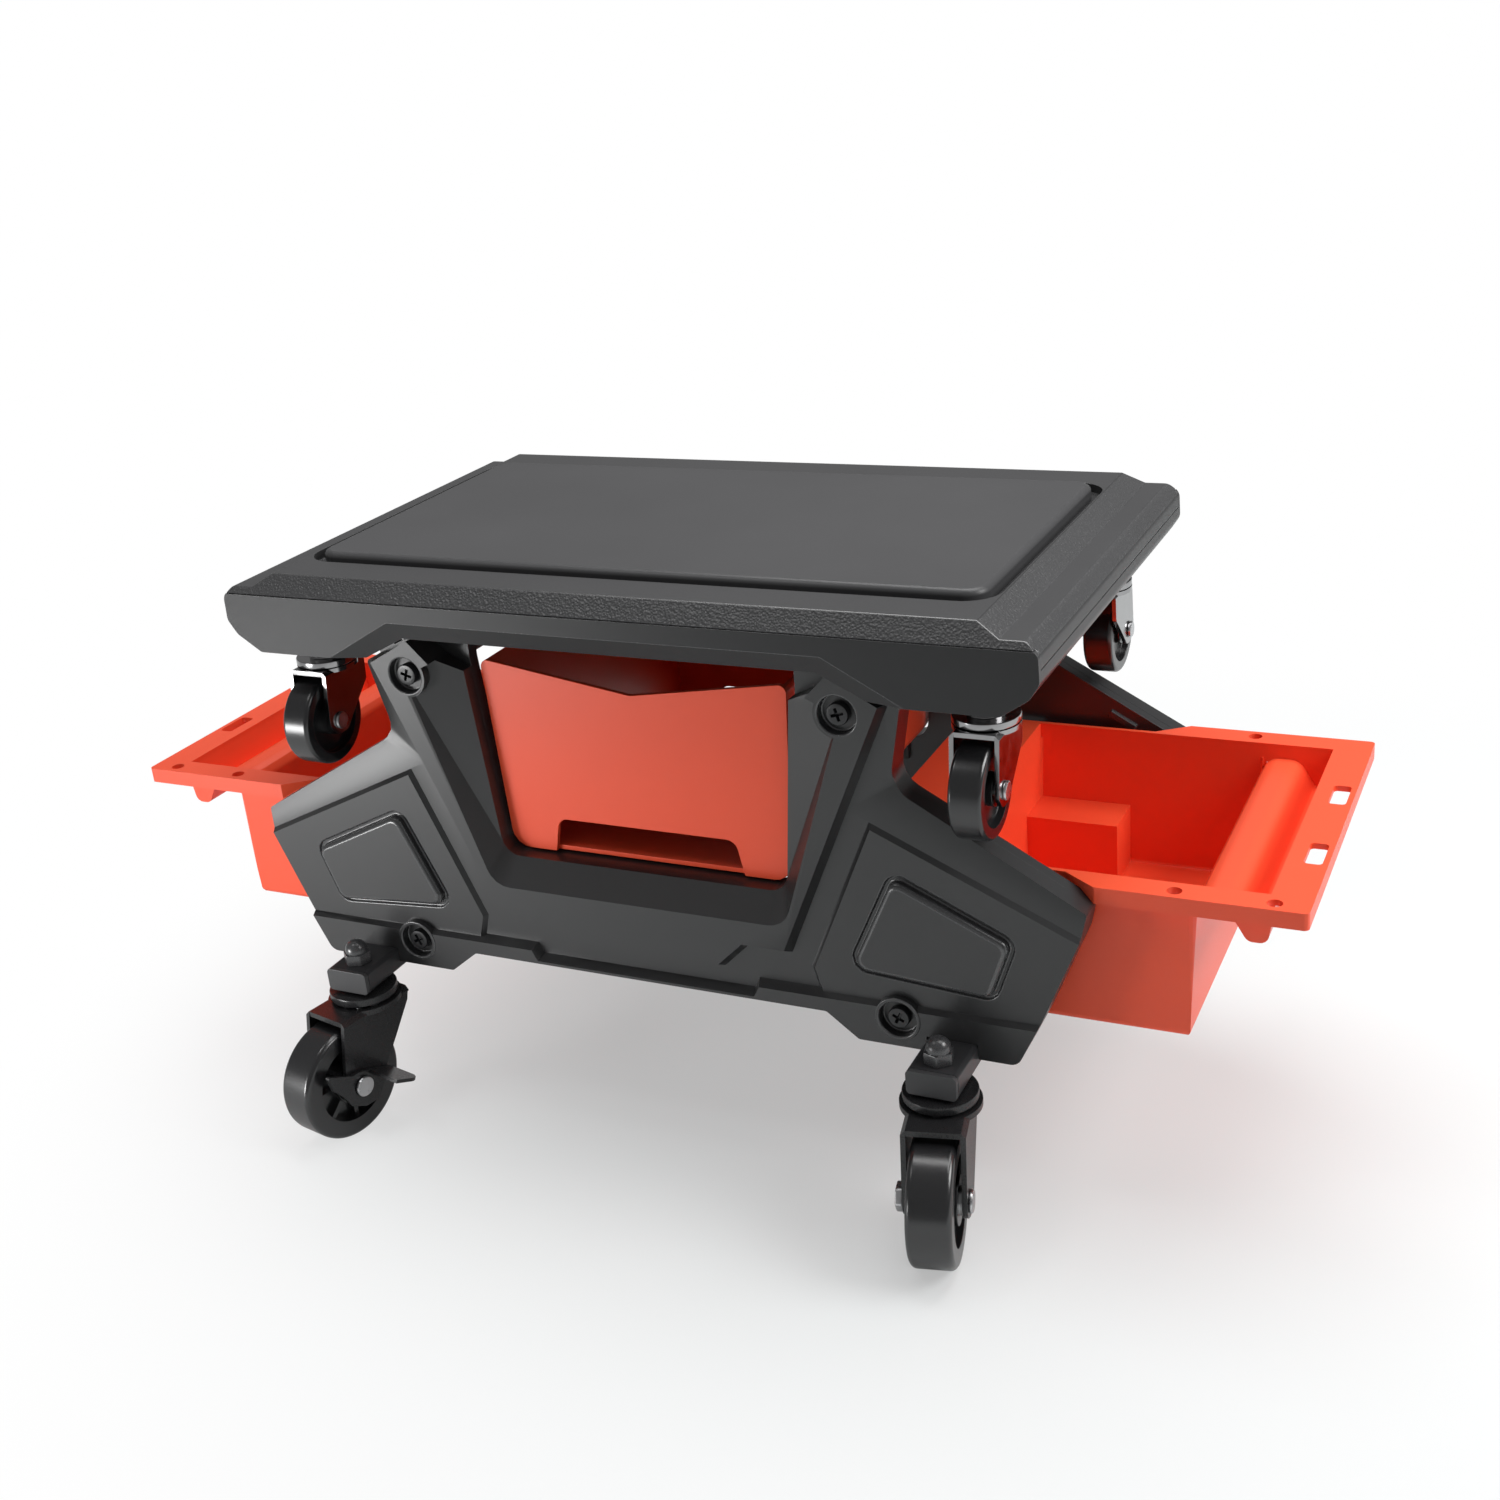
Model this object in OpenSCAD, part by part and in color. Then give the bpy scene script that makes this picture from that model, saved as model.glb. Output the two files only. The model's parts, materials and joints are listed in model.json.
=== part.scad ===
// Rolling mechanic's seat: a moulded seat on two side panels and four swivel casters,
// with a pull-out parts bin in the middle and a slide-out tool tray at each end.
// The seat lifts off and rolls by itself on four small casters.
// Millimetres. The origin is on the floor below the middle of the seat:
// +X runs along the seat, +Z is up, and the front panel faces -Y.

/* [Seat] */
// Length over the rounded ends
seat_l = 439; // [420:1:470]
// Width from the front face to the back face
seat_w = 257.6; // [252:0.2:275]
// Height of the flat underside above the floor
seat_base_z = 266.5; // [266:0.5:280]
// Thickness from the underside to the top
seat_t = 41.5; // [38:0.5:50]
// Wall of the two seat shells
seat_wall = 3; // [2.4:0.2:4]
// Length of each stepped and rounded end
seat_end_l = 29.6; // [26:0.2:34]
// Height of the chamfer along the front and back edges
seat_chamfer_h = 10; // [8:0.5:13]
// Depth of the chamfer along the front and back edges
seat_chamfer_w = 7.1; // [5:0.1:10]
// Length of the raised panel in the top
seat_panel_l = 367; // [340:1:368]
// Width of the raised panel in the top
seat_panel_w = 186; // [160:1:200]
// Thickness of the raised panel
seat_panel_t = 8; // [6:0.5:9]
// Groove round the raised panel
seat_groove_w = 5.8; // [3:0.2:6]
// Depth of the groove below the top
seat_groove_d = 5; // [3:0.5:6]
// Corner radius of the raised panel
seat_panel_r = 11; // [6:1:20]

/* [Seat arch] */
// Half width of the flat top of the arch under the seat
arch_top_x = 113; // [108:1:118]
// Half width of the arch at the underside
arch_low_x = 137.5; // [132:0.5:142]
// Height of the arch above the underside
arch_h = 12; // [8:0.5:14]
// Width of the bevel round the arch on the front and back faces
arch_bevel_w = 9.6; // [6:0.2:12]
// Depth of that bevel
arch_bevel_d = 4.8; // [3:0.2:6]

/* [Side panels] */
// Clear distance between the inner faces of the two panels
panel_gap = 186; // [184:1:200]
// Thickness of the flat inner shell of each panel
inner_shell_t = 7; // [5:0.5:9]
// Thickness of the outer shell at the crook of its legs
edge_t = 8.4; // [6:0.2:10]
// Thickness of the outer shell at the raised field of each leg
face_t = 15; // [13:0.5:18]
// Height of that field above the valleys round it
field_h = 2.2; // [1:0.1:3]
// Height of the window rim and the skirt above the field
rim_h = 3.5; // [2:0.5:5]
// Height of the inset plates above the field
plate_h = 3.7; // [2.4:0.1:5]
// Width of the sloping band along a leg at the crook
band_in_w = 20; // [17:0.5:23]
// Width of that band at the knee
band_out_w = 11; // [8:0.5:14]
// Half width of a panel at the knee of its legs
knee_x = 233; // [230:1:240]
// Height of the knee
knee_z = 165.2; // [162:0.2:166]
// Half width at the crook between the upper leg and its slope
crook_x = 139.5; // [136:0.5:141]
// Height of the crook
crook_z = 218.2; // [214:0.2:218.4]
// Fillet in the crook
crook_r = 14; // [10:1:18]
// Half width at the top of a leg
shoulder_x = 148; // [144:1:150]
// Height of the bottom of the skirt
skirt_z = 84; // [81:0.5:86]
// Height of the bottom of the apron between the legs
apron_z = 97; // [93:0.5:99]
// Height of the top of the skirt
ledge_z = 107; // [105:0.5:110]
// Half width of the skirt at its bottom
skirt_x = 200.6; // [198:0.2:206]
// Height of the upper panel screws
upper_screw_z = 256; // [254:0.5:258]
// Half distance between the upper panel screws
upper_screw_x = 119.4; // [117:0.2:121]
// Height of the lower panel screws
lower_screw_z = 99; // [97:0.5:101]
// Half distance between the lower panel screws
lower_screw_x = 140.5; // [139:0.5:142]

/* [Parts bin] */
// Width of the bin at its top
bin_top_w = 172; // [160:1:174]
// Width of the bin at its bottom
bin_low_w = 161; // [150:1:164]
// Height of the bin
bin_h = 104.8; // [90:0.2:106]
// Height of the bin's underside above the floor
bin_z = 155.6; // [154:0.2:158]
// Wall of the bin
bin_wall = 2.6; // [2:0.2:3.4]
// Corner radius along the bottom of the bin
bin_r = 10; // [6:1:14]
// Depth of the shallow V in the top of the front wall
bin_notch = 12.6; // [6:0.2:20]
// Height of the hand opening at the foot of the front wall
bin_slot_h = 19; // [14:1:30]
// Half width of the hand opening at its foot
bin_slot_x = 55; // [40:1:60]
// Clearance between the bin and the window
bin_clear = 1.2; // [1:0.1:2]

/* [Trays] */
// Distance from the middle to the outer end of a tray
tray_end_x = 329; // [322:1:340]
// Distance from the middle to the inner end of a tray
tray_inner_x = 109; // [104:1:112]
// Height of the top of the tray's flange
tray_top_z = 174; // [173.6:0.1:175]
// Width over the outer flange
tray_flange_w = 198; // [192:1:204]
// Width over the tray's box at its top
tray_box_w = 174; // [160:1:176]
// Distance from the middle to the inner end of the box
tray_box_in_x = 150; // [149.6:0.1:154]
// Distance from the middle to the outer end of the box
tray_box_out_x = 277; // [270:1:280]
// Wall of the tray
tray_wall = 2.5; // [2:0.1:3]
// Thickness of the flange
tray_flange_t = 3; // [2.5:0.1:3.5]
// Height of the turned-down edge of the flange
tray_skirt_h = 8.5; // [6:0.5:12]
// Width of the flange beyond the trough
tray_rim_w = 19; // [17:0.5:21]
// Radius of the tool holes in the flange
tray_hole_r = 3.6; // [2:0.1:3.8]

/* [Foot tubes] */
// Distance from the middle to each foot tube
foot_x = 168; // [166:0.5:170]
// Width of a foot tube
foot_w = 25.5; // [22:0.5:28]
// Height of a foot tube
foot_h = 13; // [11:0.5:15]
// Height of the top of the foot tubes
foot_top_z = 92; // [90:0.5:94]
// Length of a foot tube with its caps
foot_l = 299; // [296:1:310]
// Wall of a foot tube
foot_wall = 1.6; // [1.2:0.1:2]

/* [Large casters] */
// Radius of a large wheel
wheel_r = 32.5; // [30:0.5:32.5]
// Width of a large wheel
wheel_w = 22; // [18:0.5:24]
// Distance from the swivel axis to the axle
trail = 26; // [22:0.5:30]
// Distance of a swivel axis from the end of its foot tube
caster_inset = 12.5; // [12:0.5:14]
// Angle of the front right caster's trail from +X, turned towards the front
caster_turn = 78; // [60:1:120]
// Radius of an axle
axle_r = 4; // [3:0.5:5]

/* [Small casters] */
// Radius of a small wheel
small_r = 24; // [20:0.5:24.5]
// Width of a small wheel
small_w = 16; // [12:0.5:17]
// Distance from the swivel axis to the axle
small_trail = 12; // [9:0.5:14]
// Half distance between the small casters, end to end
small_x = 184.5; // [183:0.5:188]
// Half distance between the small casters, front to back
small_y = 98; // [94:1:102]
// Height of a small caster from the seat to the tread
small_drop = 67; // [64:0.5:68.5]

/* [Hidden] */
$fn = 64;
// Overrun of every cut
over = 1;
// Gap between moving faces that don't carry each other
clear = 0.4;
// Radial clearance of a shaft that turns
run_fit = 0.05;

charcoal = [0.2, 0.2, 0.21];
dark = [0.12, 0.12, 0.13];
orange = [0.93, 0.32, 0.2];
steel = [0.62, 0.63, 0.65];
chrome = [0.8, 0.8, 0.82];
black_steel = [0.15, 0.15, 0.16];

// Plane geometry
function unit(v) = v / norm(v);
function left_of(v) = [-v.y, v.x];
// Where the line through p along u crosses the line through q along v
function meet(p, u, q, v) = p + u * cross(q - p, v) / cross(u, v);
// The strip along dir from back behind p to ahead of it, and from near to far on its left
function strip(p, dir, near, far, back, ahead) = let (n = left_of(dir)) [
    p - back * dir + near * n, p + ahead * dir + near * n, p + ahead * dir + far * n, p - back * dir + far * n
];
function reverse(v) = [for (i = [len(v) - 1:-1:0]) v[i]];
function flip(pts) = [for (p = reverse(pts)) [-p.x, p.y]];
// An outline that runs anticlockwise, from its right half and the mirror image of that half
function both_halves(half) = concat(half, flip(half));
// The outline with every side moved inwards by d
function inset(pts, d) = let (n = len(pts)) [for (i = [0:n - 1])
    let (a = pts[(i + n - 1) % n], b = pts[i], c = pts[(i + 1) % n],
         p = left_of(unit(b - a)), q = left_of(unit(c - b))) b + d * (p + q) / (1 + p * q)];
// The arc of radius r that rounds the corner b between a and c
function corner_arc(a, b, c, r, n) = r == 0 ? [b] :
    let (u = unit(a - b), v = unit(c - b), h = acos(u * v) / 2, o = b + unit(u + v) * r / sin(h),
         p = b + u * r / tan(h) - o, q = b + v * r / tan(h) - o)
    [for (k = [0:n]) o + r * unit((n - k) * p + k * q)];
// The outline with rounded corners: r is one radius, or a list with one for each corner
function rounded(pts, r, n = 4) = let (m = len(pts)) [for (i = [0:m - 1])
    each corner_arc(pts[(i + m - 1) % m], pts[i], pts[(i + 1) % m], is_list(r) ? r[i] : r, n)];
function rectangle(l, w) = [[-l / 2, -w / 2], [l / 2, -w / 2], [l / 2, w / 2], [-l / 2, w / 2]];

// Extrudes an outline in X and Z over the stretch from y0 to y1 in front of the middle
module slab(y0, y1) { translate([0, -y0, 0]) rotate([90, 0, 0]) linear_extrude(y1 - y0) children(); }
// Extrudes an outline in Y and Z along X from x0 to x1
module beam(x0, x1) { translate([x0, 0, 0]) rotate([90, 0, 90]) linear_extrude(x1 - x0) children(); }
// The solid between an outline in X and Z at y0 and one with as many points at y1 in front of it
module loft(low, y0, high, y1) {
    n = len(low);
    polyhedron([for (p = low) [p.x, -y0, p.y], for (p = high) [p.x, -y1, p.y]], [
        [for (i = [0:n - 1]) i], [for (i = [n - 1:-1:0]) n + i],
        for (i = [0:n - 1]) let (j = (i + 1) % n) [j, i, n + i, n + j]
    ]);
}
module plate(z0, z1) { translate([0, 0, z0]) linear_extrude(z1 - z0) children(); }
module rod(r, z0, z1) { translate([0, 0, z0]) cylinder(r = r, h = z1 - z0); }
module both_sides() { children(); mirror([1, 0, 0]) children(); }
module both_ends() { children(); mirror([0, 1, 0]) children(); }
module four_corners() { both_sides() both_ends() children(); }

// Seat

seat_top_z = seat_base_z + seat_t;
seat_edge_z = seat_top_z - seat_chamfer_h;
seam_gap = 0.3;
seam_share = 0.54;
seam_z = seat_base_z + seam_share * seat_t;
// Corners of an end from its underside up to the flat top: the distance from the tip as a share
// of the end's length, the height as a share of the thickness, the radius as a share of the thickness
end_shares = [
    [0.63, 0, 0.1], [0.17, 0.217, 0.19], [0, 0.4, 0.14], [0.014, 0.71, 0.14],
    [0.196, 0.846, 0.12], [0.615, 0.846, 0.04], [1, 1, 0.04]
];
seat_half = concat([[arch_top_x, seat_base_z + arch_h], [arch_low_x, seat_base_z]],
    [for (s = end_shares) [seat_l / 2 - s.x * seat_end_l, seat_base_z + s.y * seat_t]]);
seat_half_r = concat([0, 0], [for (s = end_shares) s.z * seat_t]);
seat_outline = both_halves(seat_half);
seat_section = [
    [-seat_w / 2, seat_base_z - over], [seat_w / 2, seat_base_z - over], [seat_w / 2, seat_edge_z],
    [seat_w / 2 - seat_chamfer_w, seat_top_z], [-seat_w / 2 + seat_chamfer_w, seat_top_z],
    [-seat_w / 2, seat_edge_z]
];
// The hollow is narrower at its foot, where the bevel of the arch cuts into the faces
hollow_y = seat_w / 2 - seat_wall;
hollow_bevel_z = seat_base_z + arch_h + arch_bevel_w + seat_wall;
hollow_low_y = hollow_y - (hollow_bevel_z - seat_base_z) * arch_bevel_d / arch_bevel_w;
hollow_top = inset(seat_section, seat_wall);
hollow_section = [
    [-hollow_low_y, seat_base_z], [hollow_low_y, seat_base_z], [hollow_y, hollow_bevel_z],
    hollow_top[2], hollow_top[3], hollow_top[4], hollow_top[5], [-hollow_y, hollow_bevel_z]
];
arch_bevel_x = arch_bevel_w * (arch_low_x - arch_top_x) / arch_h;
boss_r = 6;
boss_places = [for (x = [-1, 1], y = [-1, 1]) [x * (arch_low_x + seat_end_l), y * seat_w / 4]];
seat_screw_r = 2;
socket_r = 12;
socket_h = 18;
stem_r = 5;
panel_seat_z = seat_top_z - seat_groove_d;
panel_outline = rounded(rectangle(seat_panel_l, seat_panel_w), seat_panel_r, 8);

module recess_outline(grow) {
    side = 2 * (seat_groove_w + grow);
    polygon(rounded(rectangle(seat_panel_l + side, seat_panel_w + side), seat_panel_r + side / 2, 8));
}

module arch_bevel() {
    half = [[arch_low_x, seat_base_z - over], [arch_low_x, seat_base_z], [arch_top_x, seat_base_z + arch_h]];
    wide = [for (p = half) [p.x + arch_bevel_x, p.y]];
    high = seat_base_z + arch_h + arch_bevel_w;
    face = [wide[0], wide[1] , [arch_top_x + arch_bevel_w / 2, high]];
    hull() {
        slab(seat_w / 2, seat_w / 2 + over) polygon(both_halves(face));
        slab(seat_w / 2 - arch_bevel_d, seat_w / 2) polygon(both_halves(half));
    }
}

module seat_body() {
    difference() {
        intersection() {
            slab(-seat_w / 2 - over, seat_w / 2 + over)
                polygon(rounded(seat_outline, concat(seat_half_r, reverse(seat_half_r))));
            beam(-seat_l / 2 - over, seat_l / 2 + over) polygon(seat_section);
        }
        difference() {
            intersection() {
                slab(-hollow_y - over, hollow_y + over) polygon(inset(seat_outline, seat_wall));
                beam(-seat_l / 2, seat_l / 2) polygon(hollow_section);
            }
            plate(panel_seat_z - seat_wall, seat_top_z) recess_outline(seat_wall);
        }
        plate(panel_seat_z, seat_top_z + over) recess_outline(0);
    }
}

// The space below the parting, which runs lower on the ends than on the front and back faces
module below_parting(gap) {
    reach = seat_w / 2 + over;
    beam(-seat_l / 2 - over, seat_l / 2 + over) union() {
        translate([-reach, seat_base_z - over]) square([2 * reach, seam_z - gap - seat_base_z + over]);
        for (side = [-reach, hollow_y]) translate([side, seat_base_z - over])
            square([reach - hollow_y, seat_edge_z - gap - seat_base_z + over]);
    }
}

module seat_top_shell() {
    color(charcoal) difference() {
        union() {
            difference() {
                seat_body();
                below_parting(0);
            }
            for (p = boss_places) translate(p)
                rod(boss_r, seat_base_z + seat_wall, panel_seat_z - seat_wall / 2);
        }
        for (p = boss_places) translate(p) rod(seat_screw_r, seat_base_z, panel_seat_z - 2 * seat_wall);
    }
}

module seat_bottom_shell() {
    color(charcoal) difference() {
        union() {
            intersection() {
                seat_body();
                below_parting(seam_gap);
            }
            four_corners() translate([small_x, small_y])
                rod(socket_r, seat_base_z + seat_wall / 2, seat_base_z + socket_h);
        }
        both_ends() arch_bevel();
        for (p = boss_places) translate(p)
            rod(seat_screw_r, seat_base_z - over, seat_base_z + seat_wall + over);
        four_corners() translate([small_x, small_y])
            rod(stem_r, seat_base_z - over, seat_base_z + socket_h - seat_wall);
    }
}

// Turned or straight, this half section has its top edge rounded
function edge_section(reach, t, r) = rounded([[0, 0], [reach, 0], [reach, t], [0, t]], [0, 0, r, 0]);

module seat_panel() {
    edge_r = seat_panel_t * 0.4;
    l = seat_panel_l / 2 - seat_panel_r;
    w = seat_panel_w / 2 - seat_panel_r;
    section = edge_section(seat_panel_r, seat_panel_t, edge_r);
    color(charcoal) translate([0, 0, panel_seat_z]) {
        four_corners() translate([l, w, 0]) rotate_extrude() polygon(section);
        both_sides() translate([l, w, 0]) rotate([90, 0, 0]) linear_extrude(2 * w) polygon(section);
        both_ends() translate([-l, w, 0]) rotate([90, 0, 90]) linear_extrude(2 * l) polygon(section);
        linear_extrude(seat_panel_t) square([2 * l, 2 * w], center = true);
    }
}

module seat_screws() {
    head_r = 2 * seat_screw_r;
    color(steel) for (p = boss_places) translate(p) {
        rod(seat_screw_r, seat_base_z, panel_seat_z - 3 * seat_wall);
        rod(head_r, seat_base_z - seat_screw_r, seat_base_z);
    }
}

// Small casters under the seat

small_crown_t = 2.4;
small_plate_t = 2.2;
small_side_gap = 1.6;
small_axle_r = 3;
small_pin_r = 4;
small_head_r = 6;
small_head_h = 1.6;
small_rivet_r = 4.6;
small_rivet_h = 1.8;
small_axle_z = seat_base_z - small_drop + small_r;
small_tread_gap = 2.2;
fork_bend_share = 0.9;
small_crown_z = small_axle_z + small_r + small_crown_t + small_tread_gap;
small_race_r = 16;
small_race_t = 3.5;
small_collar_r = 9;
small_inner_w = small_w + 2 * small_side_gap;

module small_caster_stems() {
    race_z = small_crown_z + clear;
    head_z = small_crown_z - small_crown_t - clear;
    color(chrome) four_corners() translate([small_x, small_y]) {
        rod(stem_r, race_z, seat_base_z + socket_h - seat_wall);
        rod(small_collar_r, race_z, seat_base_z);
        rod(small_race_r, race_z, race_z + small_race_t);
        rod(small_pin_r, head_z, race_z);
        rod(small_head_r, head_z - small_head_h, head_z);
    }
}

// A caster's fork, its pin on the Z axis and its axle ahead along +X: a folded sheet, each side
// of which runs from the rear of the crown past the points in low, taken from the axle, to its front
module fork(rear_x, front_x, low, low_r, axle, crown_z, crown_t, inner, sheet, disc_r, pin_r, pivot_r) {
    side = concat([[rear_x, crown_z]], [for (p = low) axle + p], [[front_x, crown_z]]);
    half_w = inner / 2 + sheet;
    bend = fork_bend_share * sheet;
    fold = [
        [half_w, crown_z - bend], [half_w - bend, crown_z], [bend - half_w, crown_z], [-half_w, crown_z - bend]
    ];
    difference() {
        union() {
            intersection() {
                both_ends() slab(inner / 2, half_w) polygon(rounded(side, concat([0], low_r, [0])));
                beam(rear_x, axle.x + axle.y) polygon(concat([[-half_w, 0], [half_w, 0]], fold));
            }
            beam(rear_x, front_x)
                polygon(concat([[-half_w, crown_z - crown_t], [half_w, crown_z - crown_t]], fold));
            rod(disc_r, crown_z - crown_t, crown_z);
        }
        rod(pin_r + run_fit, crown_z - crown_t - over, crown_z + over);
        slab(-half_w - over, half_w + over) translate(axle) circle(pivot_r);
    }
}

tread_soft_share = 0.14;
rib_t_share = 0.12;
rib_w_share = 0.72;
rib_sink_share = 0.05;

// A wheel on the Y axis: a round-edged tread, recessed sides and ribs between hub and rim
module wheel(r, w, bore_r, hub_r, rim_share, web_share, ribs) {
    rim_r = rim_share * r;
    web = web_share * w;
    soft = tread_soft_share * w;
    half = [
        [bore_r, w / 2], [bore_r, -w / 2], [hub_r, -w / 2], [hub_r, -web / 2], [rim_r, -web / 2],
        [rim_r, -w / 2], [r, -w / 2], [r, w / 2], [rim_r, w / 2], [rim_r, web / 2], [hub_r, web / 2],
        [hub_r, w / 2]
    ];
    soft_r = [0, 0, 0, 0, 0, 0, soft, soft, 0, 0, 0, 0];
    rotate([90, 0, 0]) rotate_extrude() polygon(rounded(half, soft_r));
    rib_t = rib_t_share * w;
    rib_w = rib_w_share * w;
    sink = rib_sink_share * (rim_r - hub_r);
    for (k = [1:ribs]) rotate([0, k * 360 / ribs, 0])
        translate([hub_r - sink, -rib_w / 2, -rib_t / 2]) cube([rim_r - hub_r + 2 * sink, rib_w, rib_t]);
}

// Trail directions of the four casters, front right first, and the side of each on X and Y
corner_names = ["front_right", "front_left", "rear_right", "rear_left"];
corner_sides = [[1, -1], [-1, -1], [1, 1], [-1, 1]];
corner_turns = [-caster_turn, caster_turn - 180, caster_turn, 180 - caster_turn];

module at_small(i) {
    s = corner_sides[i];
    translate([s.x * small_x, s.y * small_y, 0]) rotate([0, 0, s.y * 90]) children();
}

small_hub_r = 8;
small_rim_share = 0.74;
small_web_share = 0.56;
small_fork_rear_x = -16;
small_fork_front_x = 18;
small_fork_low = [[-27, 14], [-13, 1], [-5, -7], [4, -7.5], [9, -1], [7.5, 14]];
small_fork_low_r = [4, 6, 5, 6, 5, 5];

module small_fork(i) {
    color(chrome) at_small(i)
        fork(small_fork_rear_x, small_fork_front_x, small_fork_low, small_fork_low_r,
            [small_trail, small_axle_z], small_crown_z, small_crown_t, small_inner_w, small_plate_t,
            small_race_r, small_pin_r, small_axle_r);
}

module small_axle(i) {
    reach = small_inner_w / 2 + small_plate_t;
    color(steel) at_small(i) translate([small_trail, 0, small_axle_z]) both_ends() rotate([90, 0, 0]) {
        cylinder(r = small_axle_r, h = reach);
        rod(small_rivet_r, reach, reach + small_rivet_h);
    }
}

module small_wheel(i) {
    color(dark) at_small(i) translate([small_trail, 0, small_axle_z])
        wheel(small_r, small_w, small_axle_r + run_fit, small_hub_r, small_rim_share, small_web_share, 0);
}

// Side panels

seam_y = panel_gap / 2 + inner_shell_t;
face_y = seam_y + face_t;
base_y = face_y - field_h;
rim_y = face_y + rim_h;
shoulder_z = 260.5;
knee_low_x = 230.3;
knee_low_z = 152;
ledge_x = 211.5;
apron_x = 102.8;
skirt_in_x = 119.4;
notch_gap = 0.3;
tab_gap = 2.4;
tab_in = [104, 263.3];
tab_tip = [arch_top_x + tab_gap, seat_base_z + arch_h - 1.5 * tab_gap];
tab_out = [arch_low_x + tab_gap, shoulder_z + over];
throat_end_z = 257;
foot_half = foot_w / 2 + notch_gap;
// Right half of the panel from the middle of its bottom edge round to the top of the leg
panel_low_half = [
    [apron_x, apron_z], [skirt_in_x, skirt_z], [foot_x - foot_half, skirt_z], [foot_x - foot_half, foot_top_z],
    [foot_x + foot_half, foot_top_z], [foot_x + foot_half, skirt_z], [skirt_x, skirt_z], [ledge_x, ledge_z],
    [knee_low_x, knee_low_z], [knee_x, knee_z], [crook_x, crook_z]
];
panel_low_r = [3, 3, 0, 0, 0, 0, 6, 2, 3, 2, crook_r];
// The window, narrow where the bin passes and wider at the face
window_side_gap = 5;
throat_low_x = bin_low_w / 2 + bin_clear;
throat_top_x = bin_top_w / 2 + window_side_gap;
throat_z = bin_z - bin_clear;
window_low_x = 84;
window_z = 140.7;
window_top_x = 122.5;
window_r = 13;
funnel_d = 11;
funnel_y = rim_y - funnel_d;
throat_half = [[throat_low_x, throat_z], [throat_top_x, shoulder_z], [throat_top_x, seat_top_z]];
window_half = [[window_low_x, window_z], [window_top_x, shoulder_z], [window_top_x, seat_top_z]];
throat = rounded(both_halves(throat_half), [bin_r, 0, 0, 0, 0, bin_r]);
window = rounded(both_halves(window_half), [window_r, 0, 0, 0, 0, window_r]);
outer_half = concat(panel_low_half, [
    [shoulder_x, shoulder_z], tab_out, tab_tip, tab_in, [throat_top_x, throat_end_z]
]);
outer_r = concat(panel_low_r, [3, 2, 1, 1, 0]);
outer_outline = rounded(both_halves(outer_half), concat(outer_r, reverse(outer_r)));
// The inner shells stand higher: they carry the flat underside of the seat and fill its arch
inner_half = concat(panel_low_half, [
    [shoulder_x, seat_base_z], [arch_low_x + over, seat_base_z], [arch_low_x - over, seat_base_z - over],
    [arch_top_x - over, seat_base_z + arch_h - over], [throat_top_x - over, seat_base_z + arch_h - over]
]);
inner_r = concat(panel_low_r, [1, 0, 0, 1, 0]);

module window_cut() {
    slab(0, rim_y) polygon(throat);
    hull() {
        slab(rim_y, rim_y + over) polygon(window);
        slab(funnel_y, funnel_y + seam_gap) polygon(throat);
    }
}

// A raised form on the outer shell: its foot lies at the level of the valleys, its flat top at y1
module raised(foot, slope, y1) {
    past = slope * over / (y1 - base_y);
    intersection() {
        slab(seam_y, y1) polygon(outer_outline);
        loft(inset(foot, -past), base_y - over, inset(foot, slope + past), y1 + over);
    }
}

crook = [crook_x, crook_z];
knee = [knee_x, knee_z];
slope_out = left_of(unit(knee - crook));
crease_in = crook - band_in_w * slope_out;
crease_dir = unit(knee - band_out_w * slope_out - crease_in);
rim_low = [82.4, 127.5];
rim_top = [139.4, shoulder_z];
rim_dir = unit(rim_top - rim_low);
rim_slope = 3;
rim_foot_x = 45;
rim_step_x = 59;
rim_foot_z = 114;
rim_half = [[rim_foot_x, rim_foot_z], [rim_step_x, rim_low.y], rim_low, rim_top, [rim_top.x, seat_top_z]];
// Corner of the valley, where the foot of the rim crosses the crease of the band
valley = meet(crease_in, crease_dir, rim_low - rim_slope * left_of(rim_dir), rim_dir);
band_fall = base_y - seam_y - edge_t;

// Cuts all that lies above the plane that falls from the line through the valley's corner along dir
module band_cut(dir) {
    ratio = band_fall / ((crook - valley) * left_of(dir));
    long = seat_l / 2;
    loft(strip(valley, dir, 2 * band_fall / ratio, long, long, long), base_y - 2 * band_fall,
        strip(valley, dir, -over / ratio, long, long, long), base_y + over);
}

module leg_bands() {
    intersection() {
        band_cut(crease_dir);
        band_cut(-rim_dir);
    }
}

field_foot_h = 12;
field_foot_w = 4.5;
field_low = meet(crease_in, rim_dir, [0, ledge_z + field_foot_h], [1, 0]);
field_far = crease_in + seat_l / 3 * crease_dir;
field_low_z = ledge_z - 2 * field_h;
field_outline = [
    [field_low.x + field_foot_w, field_low_z], [field_far.x, field_low_z], field_far, crease_in, field_low
];
skirt_step_x = 65;
skirt_step = [3, 6];
skirt_slope = 2.5;
skirt_step_in = [skirt_step_x, ledge_z] - skirt_step;
// One half of the skirt, which overlaps the other in the middle
skirt_outline = [
    [knee_x, apron_z - skirt_z], [knee_x, ledge_z], [skirt_step_x, ledge_z], skirt_step_in,
    [-2 * skirt_slope, skirt_step_in.y], [-2 * skirt_slope, apron_z - skirt_z]
];
upper_screw = [upper_screw_x, upper_screw_z];
lower_screw = [lower_screw_x, lower_screw_z];
tab_fold_share = 0.55;
tab_face = [tab_in + tab_fold_share * (upper_screw - tab_in), upper_screw, rim_top, tab_out, tab_tip, tab_in];
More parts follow.
